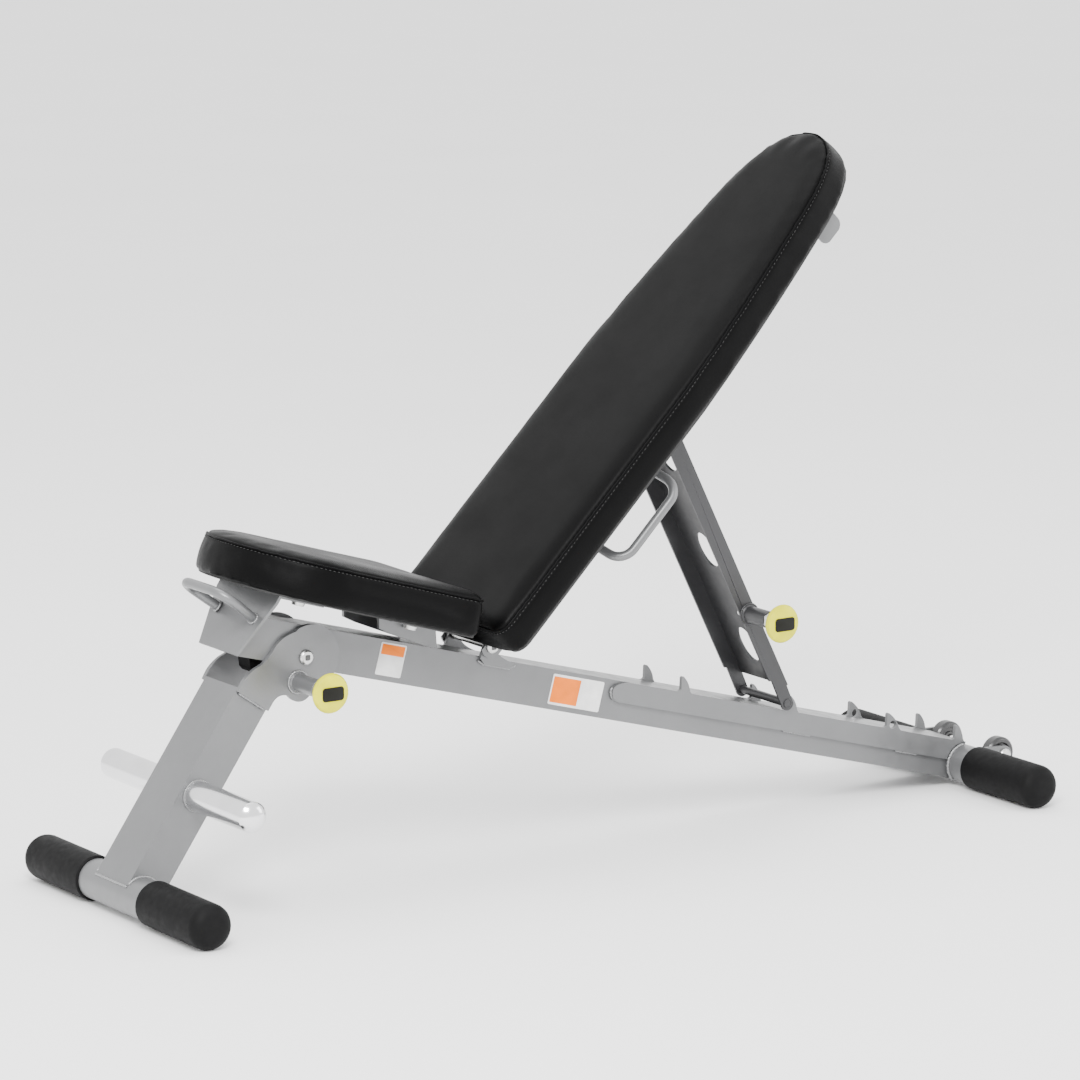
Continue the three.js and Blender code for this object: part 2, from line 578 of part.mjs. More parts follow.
// ---- strut --------------------------------------------------------------------------------------
function buildStrut() {
  const half = STRUT_HALF;
  const end = 9;
  const flange = new THREE.Shape();
  flange.moveTo(0, half);
  flange.absarc(0, 0, half, Math.PI / 2, 1.5 * Math.PI, false);
  flange.lineTo(STRUT_LENGTH - 42, -half);
  flange.lineTo(STRUT_LENGTH - 40, -half + 3.5);
  flange.lineTo(STRUT_LENGTH - 5, -end);
  flange.absarc(STRUT_LENGTH, 0, end + 0.5, radians(-110), radians(60), false);
  flange.lineTo(STRUT_LENGTH - 22, half - 2);
  flange.lineTo(STRUT_LENGTH - 22, half);
  const walls = slab(flange, -STRUT_OUT, STRUT_OUT);
  const hollow = box(-30, STRUT_LENGTH + 30, -STRUT_IN, STRUT_IN, -40, half - SHEET);
  const openTop = box(-30, 16, -STRUT_IN, STRUT_IN, -40, 40);
  const openEnd = box(STRUT_LENGTH - 22, STRUT_LENGTH + 30, -STRUT_IN, STRUT_IN, -40, 40);
  const ovals = OVAL_AT.map((x) => {
    const oval = new THREE.Shape().absellipse(x, 0, 26.5, 17, 0, 2 * Math.PI);
    return sheet(oval, half - SHEET - 1, half + 1, 14);
  });
  const holes = [
    crossBar([0, 0], 5.4, -60, 60, 20),
    crossBar([STRUT_LENGTH, 0], ROD_RADIUS + 0.1, -60, 60, 24),
    crossBar([STRUT_PIN_AT, 0], PIN_HOLE, -60, -40, 20),
  ];
  add(strut, "strut_channel", cut(walls, hollow, openTop, openEnd, ...ovals, ...holes), charcoalPaint);
  add(strut, "strut_rod", crossBar([STRUT_LENGTH, 0], ROD_RADIUS, -STRUT_OUT - 1, STRUT_OUT + 1, 24), charcoalPaint);
  pivotBolt(strut, "strut_pivot", [0, 0], 5, STRUT_OUT, 8);
  pullPin(strut, "strut_pin", [STRUT_PIN_AT, 0], STRUT_OUT + GAP, 46, 31, charcoalPaint);
}

// ---- transport wheels ---------------------------------------------------------------------------
function buildWheels() {
  const inner = WHEEL_OUT + 1;
  const outer = inner + 5;
  const [x, z] = AXLE;
  const plate = new THREE.Shape();
  plate.moveTo(REAR_BAR_X, FOOT_Z + 24);
  plate.lineTo(REAR_BAR_X + 20, FOOT_Z + 24);
  plate.lineTo(x + 2, z + 12.5);
  plate.absarc(x, z, 12.5, radians(80), radians(-70), true);
  plate.lineTo(REAR_BAR_X + 14, FOOT_Z - 15);
  plate.lineTo(REAR_BAR_X, FOOT_Z - 15);
  const ring = crossBar([REAR_BAR_X, FOOT_Z], BAR_RADIUS + GAP, inner - 1, outer + 1, 40);
  const bracket = cut(slab(plate, inner, outer), ring, crossBar(AXLE, 5.3, inner - 1, outer + 1, 20));
  const mid = (WHEEL_IN + WHEEL_OUT) / 2;
  const face = mid - WHEEL_IN;
  const rim = [
    [5.4, -face], [9, -face], [10, 3 - face], [14.5, 3 - face], [15.5, -face], [WHEEL_RADIUS - 3, -face],
    [WHEEL_RADIUS, 3 - face],
  ];
  const profile = [...rim, ...rim.map(([r, y]) => [r, -y]).reverse(), rim[0]].map(([r, y]) => [r, y + mid]);
  const axle = [
    [0, WHEEL_IN - 5], [4, WHEEL_IN - 5], [5, WHEEL_IN - 4], [5, outer + GAP],
    [9, outer + GAP], [9, outer + 3], [7, outer + 5], [0, outer + 5],
  ];
  [1, -1].forEach((side) => {
    const hand = side > 0 ? "right" : "left";
    add(floor, `wheel_bracket_${hand}`, onSide(bracket, side), silverPaint);
    add(floor, `wheel_axle_${hand}`, onSide(turned(AXLE, axle, 20), side), zinc);
    add(floor, `wheel_${hand}`, onSide(turned(AXLE, profile, 28), side), blackPlastic);
  });
}

buildLeg();
buildBeam();
buildLugs();
buildPad(seat, "seat", seatOutline, 0, SEAT_SIDE);
buildSeatBrackets();
buildBackFrame();
buildStrut();
buildWheels();

export default bench;
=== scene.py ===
"""Looks of the decline sit-up bench, built round its CAD model.

Metres, +Z up, +X towards the head end.
"""
import json
import math
import random

import bmesh
import bpy
import numpy as np
from mathutils import Matrix, Vector
from mathutils.bvhtree import BVHTree
from mathutils.kdtree import KDTree


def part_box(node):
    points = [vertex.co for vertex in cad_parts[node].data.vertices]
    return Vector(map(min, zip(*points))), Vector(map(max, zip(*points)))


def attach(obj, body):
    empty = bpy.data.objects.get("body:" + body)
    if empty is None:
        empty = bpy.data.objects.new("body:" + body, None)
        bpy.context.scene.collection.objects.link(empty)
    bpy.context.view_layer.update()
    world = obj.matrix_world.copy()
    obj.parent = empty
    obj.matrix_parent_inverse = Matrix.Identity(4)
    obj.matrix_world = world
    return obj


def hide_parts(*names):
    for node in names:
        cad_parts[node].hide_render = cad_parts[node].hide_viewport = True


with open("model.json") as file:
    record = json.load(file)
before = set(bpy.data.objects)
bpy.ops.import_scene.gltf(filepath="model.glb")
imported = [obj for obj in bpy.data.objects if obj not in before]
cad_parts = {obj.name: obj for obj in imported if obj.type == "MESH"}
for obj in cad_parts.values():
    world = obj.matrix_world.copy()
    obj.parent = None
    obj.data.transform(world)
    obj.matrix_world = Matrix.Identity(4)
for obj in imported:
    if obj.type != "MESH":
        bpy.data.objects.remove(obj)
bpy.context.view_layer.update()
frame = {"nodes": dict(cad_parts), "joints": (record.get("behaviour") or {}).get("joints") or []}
nodes = frame["nodes"]
joint_at = {j["name"]: Vector(j["pos_m"]) for j in frame["joints"] if "pos_m" in j}

# ---- sizes that the CAD part is built to ---------------------------------------------------------
MM = 0.001
BAR_RADIUS = 25.4 * MM
HALF_WIDTH = 38.1 * MM
HALF_DEPTH = 25.4 * MM
TUBE_SIDES = (-HALF_WIDTH, HALF_WIDTH)
PLATE_OUT = 43.4 * MM
EAR_OUT = 44.4 * MM
LEG_ANGLE = 55.1
BEAM_ANGLE = -15.3
BACK_ANGLE = 45.25
SEAT_ANGLE = -16.8
STRUT_ANGLE = -63.45
BEAM_TOP = 39.5 * MM
STRUT_LENGTH = 424.2 * MM
BEAM_AT = (-0.4091, 0, 0.2939)
SEAT_AT = (-0.2121, 0, 0.3085)
LOOP_RADIUS = 6 * MM

# Cushion sizes, in millimetres in the seat's and the back's own frames.
SEAT_HALF = 130
SEAT_CORNER = 13
SEAT_STRAIGHT = 214
SEAT_NOSE = 110
SEAT_LEVELS = (0, 51.5)
BACK_HALF = 134
BACK_CORNER = 27
BACK_START = -10
BACK_END = 799
BACK_LEVELS = (8.8, 54.8)
LEAST_CORNER = 4
HELD_HEIGHT = 5
SWELL_CAP = 2.4
SIM_FRAMES = 20

# Labels on the beam: their middles along and out from it, in millimetres.
LABEL_SMALL = (121.2, 15.9)
LABEL_LARGE = (406.2, 14.8)
LABEL_Y = -HALF_WIDTH - 0.15 * MM
BAND_Y = LABEL_Y - 0.35 * MM


class Place:
    """A sloping frame: an origin in X and Z, and a slope in degrees."""

    def __init__(self, origin, degrees):
        turn = math.radians(degrees)
        self.origin = Vector((origin[0], 0, origin[2]))
        self.along = Vector((math.cos(turn), 0, math.sin(turn)))
        self.out = Vector((-math.sin(turn), 0, math.cos(turn)))

    def at(self, x, y, z):
        return self.origin + self.along * x + Vector((0, y, 0)) + self.out * z

    def local(self, point):
        d = Vector(point) - self.origin
        return Vector((d.dot(self.along), d.y, d.dot(self.out)))


def middle(node):
    low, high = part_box(node)
    return (low + high) / 2


leg = Place(middle("foot_bar"), LEG_ANGLE)
beam = Place(BEAM_AT, BEAM_ANGLE)
seat = Place(SEAT_AT, SEAT_ANGLE)
back = Place(joint_at["backrest_tilt"], BACK_ANGLE)
strut = Place(joint_at["strut_swing"], STRUT_ANGLE)
rear_bar = middle("rear_bar")


# ---- materials -----------------------------------------------------------------------------------
def new_material(name, roughness, metallic=0.0, **sockets):
    material = bpy.data.materials.new(name)
    material.use_nodes = True
    tree = material.node_tree
    shader = tree.nodes["Principled BSDF"]
    shader.inputs["Roughness"].default_value = roughness
    shader.inputs["Metallic"].default_value = metallic
    for socket, value in sockets.items():
        shader.inputs[socket.replace("_", " ")].default_value = value
    coords = tree.nodes.new("ShaderNodeTexCoord").outputs["Object"]
    return material, tree, shader, coords


def noise(tree, coords, scale, detail=3.0, stretch=None):
    if stretch:
        mapping = tree.nodes.new("ShaderNodeMapping")
        mapping.inputs["Scale"].default_value = stretch
        tree.links.new(coords, mapping.inputs["Vector"])
        coords = mapping.outputs["Vector"]
    node = tree.nodes.new("ShaderNodeTexNoise")
    node.inputs["Scale"].default_value = scale
    node.inputs["Detail"].default_value = detail
    tree.links.new(coords, node.inputs["Vector"])
    return node.outputs["Fac"]


def cells(tree, coords, scale, feature="F1"):
    node = tree.nodes.new("ShaderNodeTexVoronoi")
    node.feature = feature
    node.inputs["Scale"].default_value = scale
    tree.links.new(coords, node.inputs["Vector"])
    return node.outputs["Distance"]


def ramp(tree, factor, stops):
    """A colour ramp: stops are (position, colour or grey level)."""
    node = tree.nodes.new("ShaderNodeValToRGB")
    elements = node.color_ramp.elements
    while len(elements) < len(stops):
        elements.new(0.5)
    for element, (position, value) in zip(elements, stops):
        element.position = position
        element.color = (*value, 1) if hasattr(value, "__len__") else (value, value, value, 1)
    tree.links.new(factor, node.inputs["Fac"])
    return node.outputs["Color"]


def mix(tree, factor, a, b, blend="MIX"):
    node = tree.nodes.new("ShaderNodeMix")
    node.data_type = "RGBA"
    node.blend_type = blend
    for socket, value in ((node.inputs["Factor"], factor), (node.inputs[6], a), (node.inputs[7], b)):
        if isinstance(value, bpy.types.NodeSocket):
            tree.links.new(value, socket)
        elif hasattr(value, "__len__"):
            socket.default_value = (*value, 1)
        else:
            socket.default_value = value
    return node.outputs[2]


def bump(tree, shader, heights, distance):
    """Bumps from several (height, strength) pairs, one on top of the other."""
    normal = None
    for height, strength in heights:
        node = tree.nodes.new("ShaderNodeBump")
        node.inputs["Strength"].default_value = strength
        node.inputs["Distance"].default_value = distance
        tree.links.new(height, node.inputs["Height"])
        if normal:
            tree.links.new(normal, node.inputs["Normal"])
        normal = node.outputs["Normal"]
    tree.links.new(normal, shader.inputs["Normal"])


def spread(color, amount):
    return tuple(c * (1 - amount) for c in color), tuple(min(1, c * (1 + amount)) for c in color)


def paint(name, color, roughness, metallic, flake=0.06):
    """Sprayed paint: cloudy tone, fine flake, orange peel and a few rubbed patches."""
    material, tree, shader, coords = new_material(name, roughness, metallic, Coat_Weight=0.12,
                                                  Coat_Roughness=0.25)
    dark, light = spread(color, flake)
    cloud = ramp(tree, noise(tree, coords, 7, 4), [(0.3, dark), (0.7, light)])
    speck = ramp(tree, noise(tree, coords, 2400, 2), [(0.35, 0.9), (0.65, 1.0)])
    scuff = ramp(tree, noise(tree, coords, 38, 6), [(0.66, 0.0), (0.74, 1.0)])
    tone = mix(tree, 1.0, cloud, speck, "MULTIPLY")
    rubbed = tuple(0.82 * c for c in color)
    worn = mix(tree, ramp(tree, scuff, [(0, 0.0), (1, 0.3)]), tone, rubbed)
    tree.links.new(worn, shader.inputs["Base Color"])
    gloss = ramp(tree, noise(tree, coords, 60, 4), [(0.3, roughness - 0.06), (0.7, roughness + 0.08)])
    tree.links.new(gloss, shader.inputs["Roughness"])
    bump(tree, shader, [(noise(tree, coords, 420, 2), 0.10), (noise(tree, coords, 1900, 2), 0.05)], 0.0006)
    return material


def vinyl():
    """Upholstery vinyl: pebbled grain with crease lines between the pebbles, darkened there as painted shade,
    and a soft sheen.
    """
    material, tree, shader, coords = new_material("vinyl_black", 0.42, Specular_IOR_Level=0.07)
    wobble = tree.nodes.new("ShaderNodeVectorMath")
    wobble.operation = "MULTIPLY_ADD"
    wobble.inputs[1].default_value = (0.0009, 0.0009, 0.0009)
    warp = tree.nodes.new("ShaderNodeTexNoise")
    warp.inputs["Scale"].default_value = 500
    tree.links.new(coords, warp.inputs["Vector"])
    tree.links.new(warp.outputs["Color"], wobble.inputs[0])
    tree.links.new(coords, wobble.inputs[2])
    warped = wobble.outputs["Vector"]
    grain = cells(tree, warped, 620, "DISTANCE_TO_EDGE")
    crease_relief_and_shade = ramp(tree, grain, [(0.0, 0.0), (0.16, 1.0)])
    shades = [(0.3, (0.0006, 0.0006, 0.0007)), (0.7, (0.0013, 0.0013, 0.0014))]
    cloud = ramp(tree, noise(tree, coords, 9, 4), shades)
    # Painted shade: the colour is darkened to 0.6 in the creases of the grain.
    tone = mix(tree, 1.0, cloud, ramp(tree, crease_relief_and_shade, [(0, 0.6), (1, 1.0)]), "MULTIPLY")
    tree.links.new(tone, shader.inputs["Base Color"])
    gloss = ramp(tree, noise(tree, coords, 14, 5), [(0.3, 0.36), (0.7, 0.48)])
    tree.links.new(gloss, shader.inputs["Roughness"])
    bump(tree, shader, [(crease_relief_and_shade, 0.16), (noise(tree, coords, 90, 3), 0.10)], 0.0004)
    return material


def moulded(name, color, roughness, grain_scale, grain, coat=0.0, shine=0.5):
    """Moulded rubber or plastic with a fine surface texture."""
    material, tree, shader, coords = new_material(name, roughness, Coat_Weight=coat, Coat_Roughness=0.12,
                                                  Specular_IOR_Level=shine)
    dark, light = spread(color, 0.14)
    tone = ramp(tree, noise(tree, coords, 40, 5), [(0.3, dark), (0.7, light)])
    tree.links.new(tone, shader.inputs["Base Color"])
    gloss = ramp(tree, noise(tree, coords, 120, 3), [(0.3, roughness - 0.05), (0.7, roughness + 0.07)])
    tree.links.new(gloss, shader.inputs["Roughness"])
    bump(tree, shader, [(noise(tree, coords, grain_scale, 3), grain)], 0.0005)
    return material


def plated(name, color, roughness, scratch):
    """Plated metal with faint turning marks round its length."""
    material, tree, shader, coords = new_material(name, roughness, 1.0)
    dark, light = spread(color, 0.05)
    marks = noise(tree, coords, 160, 4, (1, 14, 1))
    tone = ramp(tree, noise(tree, coords, 30, 4), [(0.3, dark), (0.7, light)])
    tree.links.new(tone, shader.inputs["Base Color"])
    gloss = ramp(tree, marks, [(0.3, roughness * 0.7), (0.7, roughness * 1.5)])
    tree.links.new(gloss, shader.inputs["Roughness"])
    bump(tree, shader, [(marks, scratch)], 0.0003)
    return material


silver = paint("silver_paint", (0.16, 0.162, 0.165), 0.34, 0.45)
charcoal = paint("charcoal_paint", (0.03, 0.03, 0.032), 0.42, 0.25)
weld_metal = paint("weld_bead", (0.25, 0.252, 0.255), 0.26, 0.5)
vinyl_black = vinyl()
board_black = moulded("board_black", (0.018, 0.018, 0.018), 0.8, 900, 0.35)
rubber = moulded("rubber_black", (0.003, 0.003, 0.0032), 0.62, 1300, 0.35, shine=0.12)
wheel_black = moulded("wheel_black", (0.016, 0.016, 0.017), 0.30, 700, 0.08, coat=0.3)
badge_black = moulded("badge_black", (0.006, 0.006, 0.004), 0.45, 900, 0.05, shine=0.15)
knob_yellow = moulded("knob_yellow", (0.60, 0.58, 0.0), 0.34, 600, 0.05, shine=0.25)
thread = moulded("thread_black", (0.012, 0.012, 0.012), 0.6, 2200, 0.5)
label_white = moulded("label_white", (0.74, 0.74, 0.73), 0.4, 500, 0.03)
label_orange = moulded("label_orange", (0.80, 0.17, 0.0), 0.4, 500, 0.03, shine=0.2)
chrome = plated("chrome", (0.80, 0.80, 0.81), 0.16, 0.05)
zinc = plated("zinc", (0.62, 0.62, 0.61), 0.30, 0.12)
# Painted shade: a dark metal for flat plates that stand in for the shaded hex sockets in the bolt heads.
socket_painted_shade = plated("socket_painted_shade", (0.10, 0.10, 0.10), 0.5, 0.1)


# ---- carried-over CAD nodes ----------------------------------------------------------------------
def dress(node, material, edge=0.6, corner=28):
    """Gives a CAD node its material, and softens its edges with modifiers."""
    piece = nodes[node]
    piece.data.materials.clear()
    piece.data.materials.append(material)
    normals = piece.data.attributes.get("custom_normal")
    if normals:
        piece.data.attributes.remove(normals)
    piece.data.shade_smooth()
    weld = piece.modifiers.new("join", "WELD")
    weld.merge_threshold = 1e-6
    if edge:
        flat = piece.modifiers.new("flat", "DECIMATE")
        flat.decimate_type = "DISSOLVE"
        flat.angle_limit = math.radians(0.4)
        soft = piece.modifiers.new("edges", "BEVEL")
        soft.width = edge * MM
        soft.segments = 2
        soft.limit_method = "ANGLE"
        soft.angle_limit = math.radians(corner)
        soft.harden_normals = True


LOOKS = [
    (silver, 1.2, ["leg_tube", "main_beam"]),
    (silver, 0.7, ["leg_ear_left", "leg_ear_right", "leg_lock_tab", "seat_front_bracket", "seat_rear_bracket",
                   "ladder_plate_left", "ladder_plate_right", "back_lug_left", "back_lug_right",
                   "wheel_bracket_left", "wheel_bracket_right", "back_channel", "back_strap_left",
                   "back_strap_right", "back_top_bracket", "foot_bar", "rear_bar", "leg_pin_sleeve"]),
    (charcoal, 0.7, ["strut_channel", "strut_rod", "strut_pin_sleeve"]),
    (board_black, 1.0, ["seat_board", "back_board"]),
    (rubber, 1.0, ["foot_grip_left", "foot_grip_right", "rear_grip_left", "rear_grip_right", "beam_stop"]),
    (wheel_black, 0.8, ["wheel_left", "wheel_right"]),
    (chrome, 0.8, ["peg_bar"]),
    (zinc, 0.5, ["back_pivot_bolt", "back_pivot_nut", "leg_pivot_bolt", "leg_pivot_nut", "strut_pivot_bolt",
                 "strut_pivot_nut", "leg_pin_nut", "strut_pin_nut", "leg_pin_rod", "strut_pin_rod",
                 "wheel_axle_left", "wheel_axle_right", "seat_bolt_front_left", "seat_bolt_front_right",
                 "seat_bolt_rear_left", "seat_bolt_rear_right"]),
    (knob_yellow, 0.6, ["leg_pin_knob", "strut_pin_knob"]),
]
for finish, edge_mm, names in LOOKS:
    for node_name in names:
        dress(node_name, finish, edge_mm)


# ---- mesh pieces ---------------------------------------------------------------------------------
def new_piece(name, mesh, material, body):
    piece = bpy.data.objects.new(name, mesh)
    bpy.context.scene.collection.objects.link(piece)
    if material:
        mesh.materials.append(material)
    mesh.shade_smooth()
    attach(piece, body)
    return piece


def mesh_of(name, points, faces):
    mesh = bpy.data.meshes.new(name)
    mesh.from_pydata([tuple(p) for p in points], [], faces)
    tidy = bmesh.new()
    tidy.from_mesh(mesh)
    bmesh.ops.recalc_face_normals(tidy, faces=tidy.faces)
    tidy.to_mesh(mesh)
    tidy.free()
    return mesh


def tube_mesh(name, path, radii, sides=10, closed=False):
    """A round tube along a path of points, with a radius at each point."""
    points, faces = [], []
    count = len(path)
    side = None
    for i, centre in enumerate(path):
        ahead = path[(i + 1) % count] if closed else path[min(i + 1, count - 1)]
        behind = path[i - 1] if closed else path[max(i - 1, 0)]
        way = (ahead - behind).normalized()
        if side is None:
            side = way.orthogonal().normalized()
        side = (side - way * side.dot(way)).normalized()
        other = way.cross(side)
        for k in range(sides):
            turn = 2 * math.pi * k / sides
            points.append(centre + (side * math.cos(turn) + other * math.sin(turn)) * radii[i])
    last = count if closed else count - 1
    for i in range(last):
        a, b = i * sides, ((i + 1) % count) * sides
        for k in range(sides):
            n = (k + 1) % sides
            faces.append((a + k, a + n, b + n, b + k))
    if not closed:
        faces.append(tuple(range(sides)))
        faces.append(tuple((count - 1) * sides + k for k in range(sides)))
    return mesh_of(name, points, faces)


def resample(path, step):
    """Points at an even spacing along a path of straight lines."""
    lengths = [0.0]
    for a, b in zip(path, path[1:]):
        lengths.append(lengths[-1] + (b - a).length)
    count = max(2, round(lengths[-1] / step))
    result = []
    for i in range(count + 1):
        distance = lengths[-1] * i / count
        k = max(j for j in range(len(lengths) - 1) if lengths[j] <= distance + 1e-12)
        span = lengths[k + 1] - lengths[k]
        result.append(path[k].lerp(path[k + 1], (distance - lengths[k]) / span if span else 0))
    return result


weld_dice = random.Random(11)


def weld(name, path, radius, body, material=weld_metal, slot="silver_paint"):
    """A rippled weld bead along a path."""
    line = resample(path, radius * 0.55)
    radii = [radius * (0.86 + 0.14 * math.cos(i * 1.9) + weld_dice.uniform(-0.08, 0.08))
             for i in range(len(line))]
    for end in (0, -1):
        radii[end] *= 0.45
    shaken = [p + Vector([weld_dice.uniform(-0.1, 0.1) * radius for _ in range(3)]) for p in line]
    new_piece(name, tube_mesh(name, shaken, radii, 8), material, body)


def arc(place, x, z, radius, y, start, end, count=24):
    """Points on a circle about the Y direction, in a sloping frame."""
    turns = [math.radians(start + (end - start) * i / count) for i in range(count + 1)]
    return [place.at(x + radius * math.cos(t), y, z + radius * math.sin(t)) for t in turns]


def both_sides(make):
    for hand, sign in (("left", -1), ("right", 1)):
        make(hand, sign)


# ---- welds ---------------------------------------------------------------------------------------
def saddle(place, x, z, low, high, towards, y):
    """The line where a tube's side meets a round bar."""
    points = []
    for i in range(17):
        height = low + (high - low) * i / 16
        reach = math.sqrt(max(0, (BAR_RADIUS + 0.6 * MM) ** 2 - (height - z) ** 2))
        points.append(place.at(x + towards * reach, y, height))
    return points


bar_local = beam.local(rear_bar)
pin_at = middle("leg_pin_sleeve")
strut_pin_at = middle("strut_pin_sleeve")
level = Place(Vector((0, 0, 0)), 0)


def side_welds(hand, sign):
    edge = sign * (HALF_WIDTH + 0.6 * MM)
    weld(f"weld_foot_{hand}", saddle(leg, 0, 0, -HALF_DEPTH, HALF_DEPTH, 1, edge), 2.0 * MM, "front_leg")
    weld(f"weld_rear_{hand}", arc(level, rear_bar.x, rear_bar.z, BAR_RADIUS + 0.8 * MM,
                                  sign * (PLATE_OUT + 0.4 * MM), 92, 228), 2.4 * MM, "frame")
    weld(f"weld_ear_{hand}", [leg.at(271.5 * MM, sign * 41 * MM, z * MM) for z in (-22, 22)], 2.2 * MM,
         "front_leg")
    weld(f"weld_peg_{hand}", arc(leg, 140 * MM, 0, 19.6 * MM, sign * (HALF_WIDTH + 0.5 * MM), 0, 360, 40),
         1.5 * MM, "front_leg")
    weld(f"weld_lug_{hand}", [beam.at(x * MM, sign * (HALF_WIDTH + 1.5 * MM), z * MM)
                              for x, z in ((247, 34), (257, 30.2), (296, 30.2), (304, 36))], 1.8 * MM, "frame")
    weld(f"weld_ladder_back_{hand}", [beam.at(x * MM, sign * 40 * MM, 12.2 * MM) for x in (930, 968)],
         1.9 * MM, "frame")
    weld(f"weld_ladder_middle_{hand}", [beam.at(x * MM, sign * 40 * MM, 12.2 * MM) for x in (740, 786)],
         1.9 * MM, "frame")
    weld(f"weld_ladder_front_{hand}", [beam.at(x * MM, sign * 40 * MM, z * MM)
                                       for x, z in ((458.5, 30), (457, 25), (460, 18), (466, 14))],
         1.9 * MM, "frame")
    weld(f"weld_rod_{hand}", arc(strut, STRUT_LENGTH, 0, 5.2 * MM, sign * 51.6 * MM, 0, 360, 20), 1.2 * MM,
         "strut", charcoal, "charcoal_paint")


both_sides(side_welds)
weld("weld_foot_front", [leg.at(2 * MM, y, HALF_DEPTH + 0.4 * MM) for y in TUBE_SIDES], 2 * MM,
     "front_leg")
weld("weld_foot_back", [leg.at(2 * MM, y, -HALF_DEPTH - 0.4 * MM) for y in TUBE_SIDES], 2 * MM,
     "front_leg")
weld("weld_rear_top", [beam.at(bar_local.x + 2 * MM, y, BEAM_TOP - 8 * MM) for y in TUBE_SIDES],
     2.2 * MM, "frame")
weld("weld_leg_pin", arc(level, pin_at.x, pin_at.z, 13.6 * MM, -EAR_OUT - 1.2 * MM, 0, 360, 36), 1.8 * MM,
     "front_leg")
weld("weld_strut_pin", arc(level, strut_pin_at.x, strut_pin_at.z, 13.4 * MM, -52 * MM, 0, 360, 36), 1.6 * MM,
     "strut", charcoal, "charcoal_paint")


# ---- cushions ------------------------------------------------------------------------------------
def bend_points(start, first, second, end, count):
    """Points on a cubic curve, without its last one."""
    points = []
    for i in range(count):
        t = i / count
        u = 1 - t
        weights = (u ** 3, 3 * u * u * t, 3 * u * t * t, t ** 3)
        knots = (start, first, second, end)
        points.append(tuple(sum(w * p[k] for w, p in zip(weights, knots)) for k in (0, 1)))
    return points


def turn_points(x, y, reach, half, start, end, count):
    turns = [math.radians(start + (end - start) * i / count) for i in range(count + 1)]
    return [(x + reach * math.cos(t), y + half * math.sin(t)) for t in turns]


def seat_outline(inset):
    half = SEAT_HALF - inset
    corner = max(SEAT_CORNER - inset, LEAST_CORNER)
    line = turn_points(-inset - corner, corner - half, corner, corner, -90, 0, 6)
    line += turn_points(-inset - corner, half - corner, corner, corner, 0, 90, 6)
    return line + turn_points(-SEAT_STRAIGHT, 0, SEAT_NOSE - inset, half, 90, 270, 60)


def back_outline(inset):
    half = BACK_HALF - inset
    corner = max(BACK_CORNER - inset, LEAST_CORNER)
    low = BACK_START + inset + corner
    end = BACK_END - inset
    line = turn_points(low, half - corner, corner, corner, 90, 180, 8)
    line += turn_points(low, corner - half, corner, corner, 180, 270, 8)
    line += bend_points((388, -half), (508, inset - 128), (608, inset - 114), (694, inset - 99), 24)
    line += bend_points((694, inset - 99), (758, inset - 85), (end, -50), (end, 0), 24)
    line += bend_points((end, 0), (end, 50), (758, 85 - inset), (694, 99 - inset), 24)
    return line + bend_points((694, 99 - inset), (608, 114 - inset), (508, 128 - inset), (388, half), 24)


def stacked(name, place, outline, levels):
    """A closed form through outlines at (inset, height) levels."""
    rings = [[place.at(x * MM, y * MM, height * MM) for x, y in outline(inset)] for inset, height in levels]
    count = len(rings[0])
    points = [p for ring in rings for p in ring]
    faces = [tuple(range(count)), tuple((len(rings) - 1) * count + k for k in range(count))]
    for i in range(len(rings) - 1):
        a, b = i * count, (i + 1) * count
        faces += [(a + k, a + (k + 1) % count, b + (k + 1) % count, b + k) for k in range(count)]
    return mesh_of(name, points, faces)


def applied(piece):
    """Puts a piece's modifiers into its mesh."""
    depsgraph = bpy.context.evaluated_depsgraph_get()
    mesh = bpy.data.meshes.new_from_object(piece.evaluated_get(depsgraph))
    piece.modifiers.clear()
    piece.data = mesh


def swell(piece, place, base):
    """Blows the cushion up as cloth, held at its underside, and caps how far it moves."""
    held = piece.vertex_groups.new(name="held")
    start = [v.co.copy() for v in piece.data.vertices]
    for i, co in enumerate(start):
        height = place.local(co).z / MM
        weight = 1.0 if height < base + HELD_HEIGHT else 0.0
        held.add([i], weight, "REPLACE")
    cloth = piece.modifiers.new("cloth", "CLOTH")
    cloth.settings.quality = 4
    cloth.settings.mass = 0.3
    cloth.settings.tension_stiffness = 18
    cloth.settings.compression_stiffness = 18
    cloth.settings.bending_stiffness = 1.5
    cloth.settings.use_pressure = True
    cloth.settings.uniform_pressure_force = 4
    cloth.settings.vertex_group_mass = "held"
    cloth.settings.effector_weights.gravity = 0
    cloth.point_cache.frame_start = 1
    cloth.point_cache.frame_end = SIM_FRAMES
    scene = bpy.context.scene
    for step in range(1, SIM_FRAMES + 1):
        scene.frame_set(step)
        bpy.context.view_layer.update()
    moved = piece.evaluated_get(bpy.context.evaluated_depsgraph_get()).data
    ends = [v.co.copy() for v in moved.vertices]
    piece.modifiers.remove(cloth)
    for vertex, a, b in zip(piece.data.vertices, start, ends):
        way = b - a
        vertex.co = a + way * min(1, SWELL_CAP * MM / max(way.length, 1e-9))
    scene.frame_set(1)


def ring_on(surface, place, outline, inset, height, step):
    """A closed line round the cushion, laid on its surface."""
    line = [place.at(x * MM, y * MM, height * MM) for x, y in outline(inset)]
    line = resample(line + line[:1], step)[:-1]
    hits = [surface.find_nearest(p) for p in line]
    return [hit[0] for hit in hits], [hit[1] for hit in hits]


